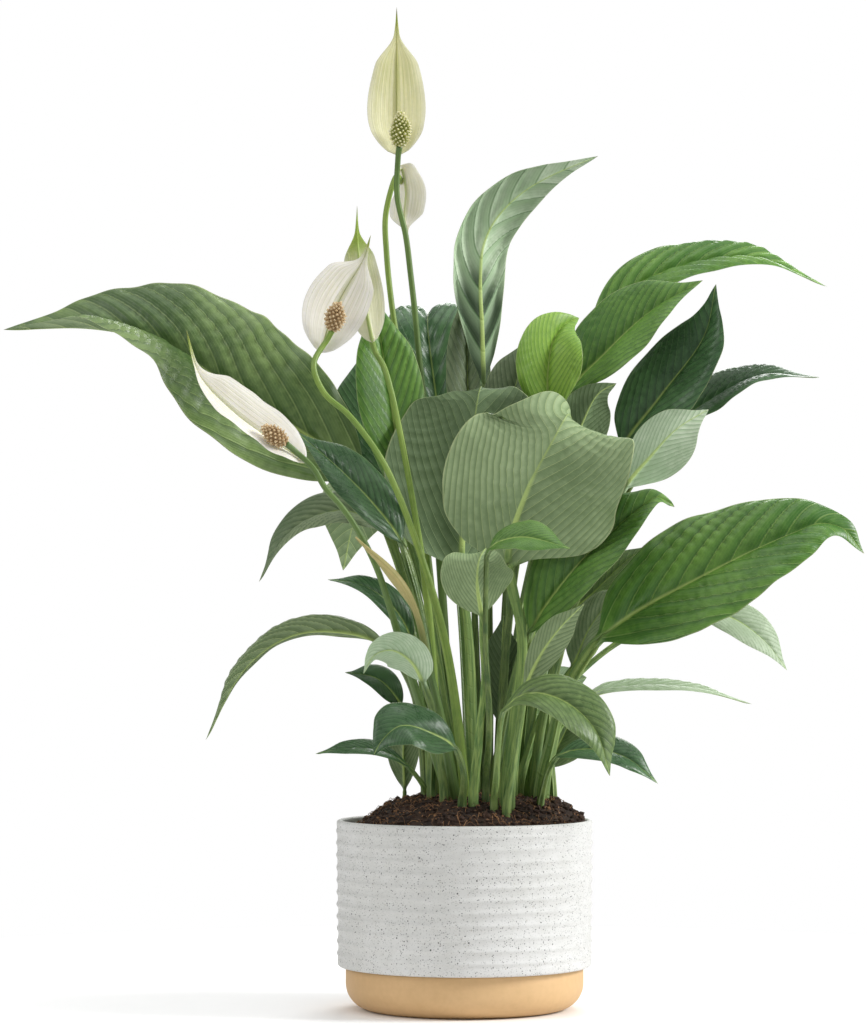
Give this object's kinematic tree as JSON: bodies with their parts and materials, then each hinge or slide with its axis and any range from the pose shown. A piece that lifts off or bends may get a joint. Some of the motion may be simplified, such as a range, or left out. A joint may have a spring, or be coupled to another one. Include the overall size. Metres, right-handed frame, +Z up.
{
  "type": "potted peace lily",
  "caption": "Flowering peace lily with arching ribbed leaves and white spathes, growing in a ribbed speckled pot on a clay-coloured base.",
  "frame": {"origin": "centre of the planter's flat underside, on the surface it stands on", "axes": "+Z up along the planter's axis; +X to the right seen from the front, the side where most flowers look; +Y to the back"},
  "size_m": [0.557, 0.3338, 0.65],
  "materials": {
    "leaf": "waxy green leaf, satin",
    "flower_stalk": "smooth pale green stem",
    "spathe": "soft cream petal",
    "spadix": "bumpy tan and cream",
    "potting_mix": "crumbly dark peat and fibre",
    "speckled_pot": "matt white with fine dark speckles",
    "clay_base": "smooth matt tan clay"
  },
  "bodies": {
    "root": {"pot_base": "clay_base", "pot_sleeve": "speckled_pot", "soil": "potting_mix", "flower_1_stalk": "flower_stalk", "flower_1_spathe": "spathe", "flower_1_spadix": "spadix", "flower_2_stalk": "flower_stalk", "flower_2_spathe": "spathe", "flower_2_spadix": "spadix", "flower_3_stalk": "flower_stalk", "flower_3_spathe": "spathe", "flower_3_spadix": "spadix", "flower_4_stalk": "flower_stalk", "flower_4_spathe": "spathe", "flower_4_spadix": "spadix", "flower_5_stalk": "flower_stalk", "flower_5_spathe": "spathe", "flower_5_spadix": "spadix", "flower_bud": "flower_stalk", "leaf_centre_large": "leaf", "leaf_left_arching": "leaf", "leaf_right_big": "leaf", "leaf_centre_left_large": "leaf", "leaf_tall_twisted": "leaf", "leaf_left_upright": "leaf", "leaf_lime_centre": "leaf", "leaf_right_glossy": "leaf", "leaf_right_folded": "leaf", "leaf_right_high": "leaf", "leaf_right_centre": "leaf", "leaf_front_pale_hood": "leaf", "leaf_front_strip": "leaf", "leaf_front_right_arching": "leaf", "leaf_left_long_drooping": "leaf", "leaf_left_glossy": "leaf", "leaf_front_left_drooping": "leaf", "leaf_left_small_folded": "leaf", "leaf_right_narrow": "leaf", "leaf_right_pale": "leaf", "leaf_back_arching_over": "leaf", "leaf_back_curled": "leaf", "leaf_left_tall_dark": "leaf", "leaf_centre_dark": "leaf", "leaf_right_pale_drooping": "leaf", "leaf_right_thin": "leaf", "leaf_right_grey_short": "leaf", "leaf_right_slender": "leaf", "leaf_front_grey_under": "leaf", "leaf_low_right": "leaf", "leaf_low_right_back": "leaf", "leaf_back_pale_round": "leaf", "leaf_left_drooping": "leaf", "leaf_left_small_dark": "leaf", "leaf_left_small_back": "leaf", "leaf_low_left": "leaf", "leaf_back_left_sprout": "leaf", "leaf_behind_brown": "leaf", "leaf_inner_dark": "leaf", "leaf_back_left": "leaf", "leaf_back_right": "leaf"}
  },
  "joints": []
}
